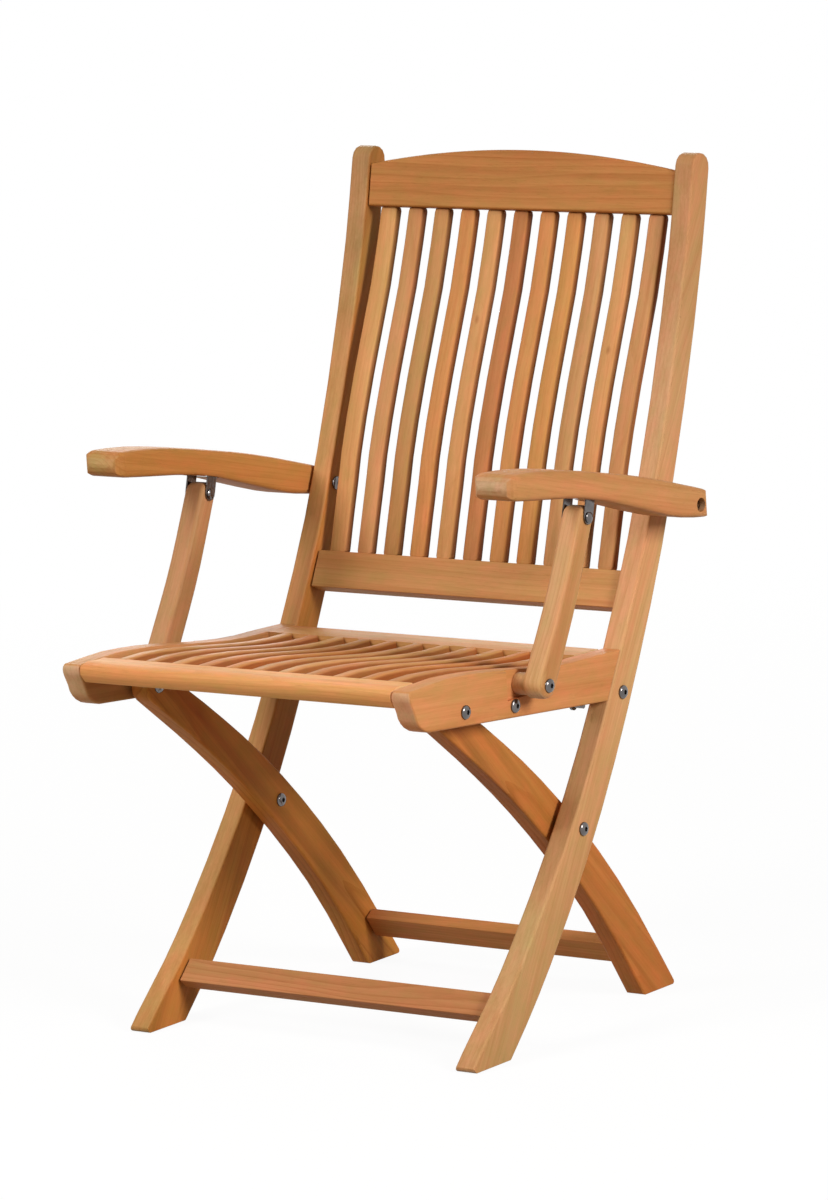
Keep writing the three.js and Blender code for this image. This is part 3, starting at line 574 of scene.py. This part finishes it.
def widen(bm, low_side, high_side):
    """Moves the long sides of a slat outwards, each by its own amount."""
    middle = (max(v.co.x for v in bm.verts) + min(v.co.x for v in bm.verts)) / 2
    reach = max(v.co.x for v in bm.verts) - middle - SLAT_EASE - SLAT_MARGIN
    for vertex in bm.verts:
        if vertex.co.x - middle > reach:
            vertex.co.x += high_side
        elif middle - vertex.co.x > reach:
            vertex.co.x -= low_side


def line_bore(bm, node):
    """A ring of wood in the mouth of the arm's bore, still wide enough for the bolt's head."""
    sign, _, outer, _ = side_span(node)
    centre = side_span(node.replace("arm", "arm_bolt"))[3]
    inside = BORE_RADIUS
    outside = BORE_RADIUS + BORE_WALL
    profile = ((BORE_MOUTH, inside), (BORE_MOUTH, outside), (BORE_DEPTH, outside), (BORE_DEPTH, inside))
    loops = [[bm.verts.new((sign * (outer - along), centre[0] + y, centre[1] + z))
              for y, z in (ring(radius, 2 * math.pi * i / ROUND) for i in range(ROUND))]
             for along, radius in profile]
    faces = []
    for a, b in zip(loops, loops[1:] + loops[:1]):
        faces += [bm.faces.new((a[i], a[(i + 1) % ROUND], b[(i + 1) % ROUND], b[i])) for i in range(ROUND)]
    bmesh.ops.recalc_face_normals(bm, faces=faces)


def nose_growth(angle):
    """How far the nose moves out from its middle, as a factor, at an angle above the forward direction."""
    for (high, old_high, new_high), (low, old_low, new_low) in zip(NOSE_PROFILE, NOSE_PROFILE[1:]):
        if low <= angle <= high:
            share = (angle - low) / (high - low)
            return (new_low + share * (new_high - new_low)) / (old_low + share * (old_high - old_low))
    return 1.0


def square_nose(bm):
    """Gives the front of the seat a flatter top and a taller front face than the plain solid has."""
    for vertex in bm.verts:
        forward = NOSE_MIDDLE[0] - vertex.co.y
        above = vertex.co.z - NOSE_MIDDLE[1]
        if forward > 0:
            factor = nose_growth(math.degrees(math.atan2(above, forward)))
            vertex.co.y -= forward * (factor - 1)
            vertex.co.z += above * (factor - 1)


def lift_underside(bm):
    """Raises the lower face of the seat's front rail."""
    lowest = min(v.co.z for v in bm.verts)
    for vertex in bm.verts:
        if vertex.co.z < lowest + FRONT_RAIL_UNDERSIDE:
            vertex.co.z += FRONT_RAIL_LIFT


def middle_at(bm, y):
    """Middle of the width and of the height of a board where a plane square to Y cuts it."""
    near = [v.co for v in bm.verts if abs(v.co.y - y) < ON_CUT]
    x = (min(p.x for p in near) + max(p.x for p in near)) / 2
    z = (min(p.z for p in near) + max(p.z for p in near)) / 2
    return x, z


def round_arm_tip(bm):
    """Rounds the arm's front end in the side view and a little in plan."""
    tip = min(v.co.y for v in bm.verts)
    start = tip + TIP_REACH
    for i in range(TIP_STEPS):
        y = start - TIP_REACH * math.sin(math.pi / 2 * i / TIP_STEPS)
        bmesh.ops.bisect_plane(bm, geom=everything(bm), dist=SAME_POINT,
                               plane_co=(0, y, 0), plane_no=(0, 1, 0))
    x, z = middle_at(bm, start)
    for vertex in bm.verts:
        if vertex.co.y < start:
            share = min(1.0, (start - vertex.co.y) / TIP_REACH)
            taper = 1 - math.sqrt(1 - share * share)
            vertex.co.z = z + (vertex.co.z - z) * (1 - TIP_THINNING_SHARE * taper)
            vertex.co.x = x + (vertex.co.x - x) * (1 - TIP_NARROWING_SHARE * taper)


def shape_board(bm, node):
    """Gives a board its departures: rounded feet and arm ends, a lined bore, a squarer nose, a shallower
    front rail and slightly wider back slats."""
    if min(v.co.z for v in bm.verts) < ON_FLOOR:
        # The foot of a rear leg takes the radii the other way round
        round_ends_of(bm, max(bm.faces, key=sole_area), FOOT_RADII if "post" in node else FOOT_RADII[::-1])
    if node in ("arm_left", "arm_right"):
        round_ends_of(bm, max(bm.faces, key=back_end_area), ARM_END_RADII)
        line_bore(bm, node)
        round_arm_tip(bm)
    if node in ("seat_front_rail", "seat_side_rail_left", "seat_side_rail_right"):
        square_nose(bm)
    if node == "seat_front_rail":
        lift_underside(bm)
    if node.startswith("back_slat"):
        widen(bm, OUTER_SLAT_GROWTH if node == "back_slat_01" else SLAT_GROWTH, SLAT_GROWTH)


# Angles in degrees: faces this close to flat are joined, and edges sharper than the other are square
FLAT_ANGLE = 0.6
SQUARE_ANGLE = 52
# Edges shorter than this are dissolved
NO_LENGTH = 1e-5
# Square edges longer than this are softened by the arris, so bolt holes keep their shape
LONG_EDGE = 0.005
ARRIS = 0.0009
ARRIS_STEPS = 2


def board_mesh(node, name):
    """The node's own form with its flat faces joined, shaded smooth, with its long square edges marked."""
    mesh = nodes[node].data.copy()
    mesh.name = name
    mesh.materials.clear()
    bm = bmesh.new()
    bm.from_mesh(mesh)
    bmesh.ops.remove_doubles(bm, verts=bm.verts, dist=SAME_POINT)
    bmesh.ops.dissolve_limit(bm, angle_limit=math.radians(FLAT_ANGLE), verts=bm.verts, edges=bm.edges)
    shape_board(bm, node)
    bmesh.ops.dissolve_degenerate(bm, edges=bm.edges, dist=NO_LENGTH)
    bm.normal_update()
    weights = bm.edges.layers.float.new("bevel_weight_edge")
    for edge in bm.edges:
        angle = edge.calc_face_angle(0) if edge.is_manifold else 0
        square = angle > math.radians(SQUARE_ANGLE)
        arrised = square and edge.is_convex and edge.calc_length() > LONG_EDGE
        edge[weights] = 1.0 if arrised else 0.0
        edge.smooth = not square or arrised
    for face in bm.faces:
        face.smooth = True
    bm.to_mesh(mesh)
    bm.free()
    return mesh


def soften(obj):
    bevel = obj.modifiers.new("arris", "BEVEL")
    bevel.limit_method = "WEIGHT"
    bevel.width = ARRIS
    bevel.segments = ARRIS_STEPS
    bevel.use_clamp_overlap = True


# Directions of the grain, and the direction that the back looks
POST = Vector((0, 0.50, 0.866))
LEG = Vector((0, 0.68, -0.73))
SLAT = Vector((0, 0.37, 0.93))
RAIL = Vector((0, 1, -0.09))
ARM = Vector((0, 1, -0.235))
SUPPORT = Vector((0, 0.45, 0.89))
FRONT = Vector((0, -0.93, 0.37))

# Tones of the slats, from the sitter's right to the sitter's left
BACK_TONES = (
    "straw", "peach", "brown", "orange", "honey", "pink", "orange", "amber", "peach", "tan", "peach",
)
SEAT_TONES = (
    "honey", "peach", "tan", "peach", "orange", "peach", "tan", "peach", "honey", "orange", "peach",
)

# Grain of the slats, tints of their sides, which are painted shade, and places of the two knots
SLAT_GRAIN = dict(spacing=0.0048, contrast=0.35, swing=1.2)
SLAT_SIDE_SHADE = (0.50, 0.41, 0.35)
SEAT_SLAT_SIDE_SHADE = (0.62, 0.45, 0.36)
KNOTS = {"back_slat_05": (0.45, 0.5, 0.70), "back_slat_10": (0.55, 0.5, 0.62)}

# Painted shade along the posts, darker towards the foot and the top, from the foot to the top, as factors of
# the tone
POST_LEFT_SHADE = (
    (0.0, (0.83, 0.84, 0.78)), (0.14, (0.83, 0.84, 0.78)), (0.33, (1, 1, 1)), (0.5, (1, 1, 1)),
    (0.7, (0.93, 0.95, 1)), (0.84, (0.78, 0.74, 0.70)), (1.0, (0.71, 0.68, 0.60)),
)
POST_RIGHT_SHADE = (
    (0.0, (0.90, 0.90, 0.85)), (0.3, (0.95, 0.95, 0.95)), (0.5, (1, 1, 1)), (0.7, (1, 0.98, 0.98)),
    (0.88, (0.76, 0.82, 0.92)), (1.0, (0.72, 0.78, 0.86)),
)

# Each wooden piece: its grain, the direction that one of its faces looks, its tone and its values for teak
WOOD = {
    # The tints on the faces that look along X of the posts and the left arm support are painted shade
    "post_right": (POST, X, "tan", dict(
        spacing=0.0052, pith=0.09, heart=0.3, side_shade=(0.90, 0.71, 0.42), height_shade=POST_RIGHT_SHADE)),
    "post_left": (POST, X, "sand", dict(
        spacing=0.0050, pith=0.08, side_shade=(1, 0.97, 0.94), height_shade=POST_LEFT_SHADE)),
    "crest_rail": (X, FRONT, "crest", dict(
        spacing=0.010, contrast=0.8, pith=0.09, turn_rings=0.45, swing=0.1)),
    "lower_back_rail": (X, FRONT, "tan", dict(
        spacing=0.0060, contrast=0.5, pith=0.10, turn_rings=0.3, swing=0.1)),
    "front_stretcher": (X, FRONT, "walnut", dict(contrast=0.9)),
    "rear_stretcher": (X, FRONT, "orange", dict(contrast=0.6)),
    "rear_leg_right": (LEG, X, "leg_painted_light", dict(spacing=0.0085, contrast=1.5, pith=0.05, heart=0.5)),
    "rear_leg_left": (LEG, X, "leg", dict(spacing=0.0075, contrast=1.3, pith=0.05, heart=0.5)),
    "seat_side_rail_right": (RAIL, X, "peach", dict(spacing=0.0060, contrast=0.5, pith=0.055)),
    "seat_side_rail_left": (RAIL, X, "rust", dict(spacing=0.0060, contrast=0.5, pith=0.055)),
    "seat_front_rail": (X, Z, "butter", dict(contrast=0.4)),
    "seat_rear_rail": (X, Z, "tan", dict(contrast=0.4)),
    "arm_right": (ARM, Z, "chestnut", dict(spacing=0.0055, contrast=0.5, pith=0.07)),
    "arm_left": (ARM, Z, "peach", dict(spacing=0.0055, contrast=0.5, pith=0.07)),
    "arm_support_right": (SUPPORT, X, "clay", dict(contrast=0.4)),
    "arm_support_left": (SUPPORT, X, "sand", dict(contrast=0.5, side_shade=(0.86, 0.78, 0.68))),
}
for number, (back_tone, seat_tone) in enumerate(zip(BACK_TONES, SEAT_TONES), 1):
    back_slat = f"back_slat_{number:02d}"
    seat_slat = f"seat_slat_{number:02d}"
    WOOD[back_slat] = (SLAT, FRONT, back_tone, dict(SLAT_GRAIN, side_shade=SLAT_SIDE_SHADE, knot=KNOTS.get(back_slat)))
    WOOD[seat_slat] = (Y, Z, seat_tone, dict(SLAT_GRAIN, side_shade=SEAT_SLAT_SIDE_SHADE))

WOOD_SEED = 40


def make_wood():
    for seed, (node, (along, normal, tone, own_values)) in enumerate(WOOD.items(), WOOD_SEED):
        material = teak(f"teak_{node}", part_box(node), along, normal, tone, seed, **own_values)
        obj = add_piece(f"{node}_teak", board_mesh(node, f"{node}_teak"), node, material)
        soften(obj)
        weight_normals(obj)


# Steel: turned bolts with a hexagon socket, spacers, straps and folded brackets

# A bolt's domed head, its socket and its shank, in metres
HEAD_RADIUS = 0.008
HEAD_HEIGHT = 0.0042
HEAD_RIM = 0.0012
HEAD_EDGE = 0.00025
HEAD_SHARES = (0.3, 0.55, 0.75, 0.88, 0.96, 1.0)
SOCKET_HALF = 0.0025
SOCKET_DEPTH = 0.0026
SOCKET_FLOOR_HALF = SOCKET_HALF * 0.92
SOCKET_LIP = SOCKET_HALF * 1.12
LIP_DROP = 0.0003
LIP_RISE = 0.0001
SHANK = 0.004
# Edges of turned forms that bend by more degrees than this stay sharp
SHARP_ANGLE = 38
# Beyond this distance from the middle plane an arm bolt stands in its bore, where its steel is painted dark
# as shade
ARM_BORE_SHADE_START = 0.27
BOLT_SEED = 300
STEEL_SEED = 400


def dome(radius):
    """Height of a domed head over its seat, at a distance from its axis."""
    return HEAD_RIM + (HEAD_HEIGHT - HEAD_RIM) * math.sqrt(max(0.0, 1 - (radius / HEAD_RADIUS) ** 2))


def head_rings():
    """Rings of a head from its middle to the shank: place along the axis, radius, and whether six-sided."""
    top = dome(SOCKET_HALF)
    rings = [(top - SOCKET_DEPTH, SOCKET_FLOOR_HALF, True), (top - LIP_DROP, SOCKET_HALF, True),
             (top + LIP_RISE, SOCKET_LIP, False)]
    for share in HEAD_SHARES:
        radius = SOCKET_LIP + (HEAD_RADIUS - SOCKET_LIP) * share
        rings.append((dome(radius), radius, False))
    rings.append((HEAD_EDGE, HEAD_RADIUS, False))
    rings.append((0.0, HEAD_RADIUS - HEAD_EDGE, False))
    rings.append((0.0, SHANK, False))
    return rings


def shifted(rings, place, direction):
    return [(place + direction * along, radius, hexagon) for along, radius, hexagon in rings]


def mark_sharp(bm):
    for edge in bm.edges:
        edge.smooth = edge.is_manifold and edge.calc_face_angle(0) < math.radians(SHARP_ANGLE)
    for face in bm.faces:
        face.smooth = True


def turned_mesh(name, rings, sign, centre):
    """A closed turned form along X. Each ring's place is measured outwards from the chair's middle plane."""
    bm = bmesh.new()
    loops = []
    for along, radius, hexagon in rings:
        loop = []
        for i in range(ROUND):
            y, z = ring(radius, 2 * math.pi * i / ROUND, hexagon)
            loop.append(bm.verts.new((sign * along, centre[0] + y, centre[1] + z)))
        loops.append(loop)
    for a, b in zip(loops, loops[1:]):
        for i in range(ROUND):
            j = (i + 1) % ROUND
            bm.faces.new((a[i], a[j], b[j], b[i]))
    bm.faces.new(loops[0])
    bm.faces.new(list(reversed(loops[-1])))
    bmesh.ops.recalc_face_normals(bm, faces=bm.faces)
    mark_sharp(bm)
    mesh = bpy.data.meshes.new(name)
    bm.to_mesh(mesh)
    bm.free()
    return mesh


def bolt_mesh(node, name, inner_head):
    sign, inner, outer, centre = side_span(node)
    rings = shifted(head_rings(), outer - HEAD_HEIGHT, 1)
    if inner_head:
        rings += reversed(shifted(head_rings(), inner + HEAD_HEIGHT, -1))
    else:
        rings.append((inner, SHANK, False))
    return turned_mesh(name, rings, sign, centre)


def make_bolts():
    bolts = [node for node in nodes if "bolt" in node]
    for seed, node in enumerate(bolts, BOLT_SEED):
        mesh = bolt_mesh(node, f"{node}_steel", inner_head="seat_bolt" not in node)
        # Arm bolts get painted shade where they stand in their bores
        bore_shade_from = ARM_BORE_SHADE_START if "arm_bolt" in node else None
        add_piece(f"{node}_steel", mesh, node, steel(f"steel_{node}", seed, painted_shade_beyond=bore_shade_from))


def make_other_steel():
    others = [node for node in nodes if node not in WOOD and "bolt" not in node]
    for seed, node in enumerate(others, STEEL_SEED):
        material = steel(f"steel_{node}", seed)
        obj = add_piece(f"{node}_steel", board_mesh(node, f"{node}_steel"), node, material)
        weight_normals(obj)


make_wood()
make_bolts()
make_other_steel()


# Floor, backdrop and light

FLOOR_HALF = 14
FLOOR_DROP = 0.0006
FLOOR_TONES = (0.93, 0.96)
FLOOR_CLOUDS = (0.8, 0.8, 0.8)
FLOOR_CLOUD_SPAN = (0.3, 0.7)
FLOOR_BOUNCE = (0.34, 0.28, 0.21, 1)
FLOOR_NEAR = 0.94
FLOOR_FADE = (1.2, 3.0)
WHITE = (1, 1, 1, 1)
WORLD_TONE = (1.0, 0.95, 0.88, 1)
WORLD_STRENGTH = 0.22
LAMP_TONE = (1.0, 0.985, 0.96)
LAMP_TARGET = Vector((0, 0, 0.5))
# Each lamp: its place, its width and height, and its power in watts
LAMPS = {
    "key": ((-1.8, -3.6, 3.2), (1.8, 1.8), 162),
    "side": ((5.6, -0.7, 2.9), (1.5, 2.2), 326),
    "back": ((-3.6, 4.4, 2.2), (2.6, 2.6), 110),
}


def with_reflections(g, path, seen):
    """Adds the rays off metal and through glass to those that see the white."""
    seen = g.math("MAXIMUM", seen, path.outputs["Is Glossy Ray"])
    return g.math("MAXIMUM", seen, path.outputs["Is Transmission Ray"])


def make_floor():
    """A floor that the camera sees as white a little way off the chair, with its shadow near it. Light that
    bounces off it is darker and warmer."""
    mesh = bpy.data.meshes.new("floor")
    half = FLOOR_HALF
    corners = [(-half, -half, 0), (half, -half, 0), (half, half, 0), (-half, half, 0)]
    mesh.from_pydata(corners, [], [(0, 1, 2, 3)])
    floor = bpy.data.objects.new("floor", mesh)
    floor.location.z = -FLOOR_DROP
    bpy.context.collection.objects.link(floor)
    material, g = new_material("floor_pale")
    place = g.add("ShaderNodeTexCoord").outputs["Object"]
    path = g.add("ShaderNodeLightPath")
    tone = g.remap(g.scaled_noise(place, FLOOR_CLOUDS), *FLOOR_CLOUD_SPAN, *FLOOR_TONES)
    pale = g.add("ShaderNodeCombineColor", {0: tone, 1: tone, 2: tone}).outputs[0]
    colour = g.mix(path.outputs["Is Camera Ray"], FLOOR_BOUNCE, pale)
    paint = g.add("ShaderNodeBsdfDiffuse", {"Color": colour})
    glow = g.add("ShaderNodeEmission", {"Color": WHITE, "Strength": 1.0})
    clear = g.remap(g.vector("LENGTH", place), *FLOOR_FADE, FLOOR_NEAR, 1.0)
    seen = with_reflections(g, path, g.math("MULTIPLY", path.outputs["Is Camera Ray"], clear))
    g.surface(g.add("ShaderNodeMixShader", {0: seen, 1: paint.outputs[0], 2: glow.outputs[0]}).outputs[0])
    mesh.materials.append(material)


def make_world():
    """A soft, warm world that is white to the camera and in reflections."""
    world = bpy.data.worlds.new("studio")
    bpy.context.scene.world = world
    world.use_nodes = True
    g = Graph(world.node_tree)
    path = g.add("ShaderNodeLightPath")
    seen = with_reflections(g, path, path.outputs["Is Camera Ray"])
    soft = g.add("ShaderNodeBackground", {"Color": WORLD_TONE, "Strength": WORLD_STRENGTH})
    white = g.add("ShaderNodeBackground", {"Color": WHITE, "Strength": 1.0})
    both = g.add("ShaderNodeMixShader", {0: seen, 1: soft.outputs[0], 2: white.outputs[0]})
    out = g.add("ShaderNodeOutputWorld")
    g.tree.links.new(both.outputs[0], out.inputs["Surface"])


def area_light(name, place, size, power):
    data = bpy.data.lights.new(name, "AREA")
    data.shape = "RECTANGLE"
    data.size, data.size_y = size
    data.energy = power
    data.color = LAMP_TONE
    light = bpy.data.objects.new(name, data)
    light.location = place
    light.rotation_euler = (LAMP_TARGET - Vector(place)).to_track_quat("-Z", "Y").to_euler()
    bpy.context.collection.objects.link(light)


make_floor()
make_world()
for lamp, (place, size, power) in LAMPS.items():
    area_light(lamp, place, size, power)

bpy.context.scene.view_settings.view_transform = "Standard"
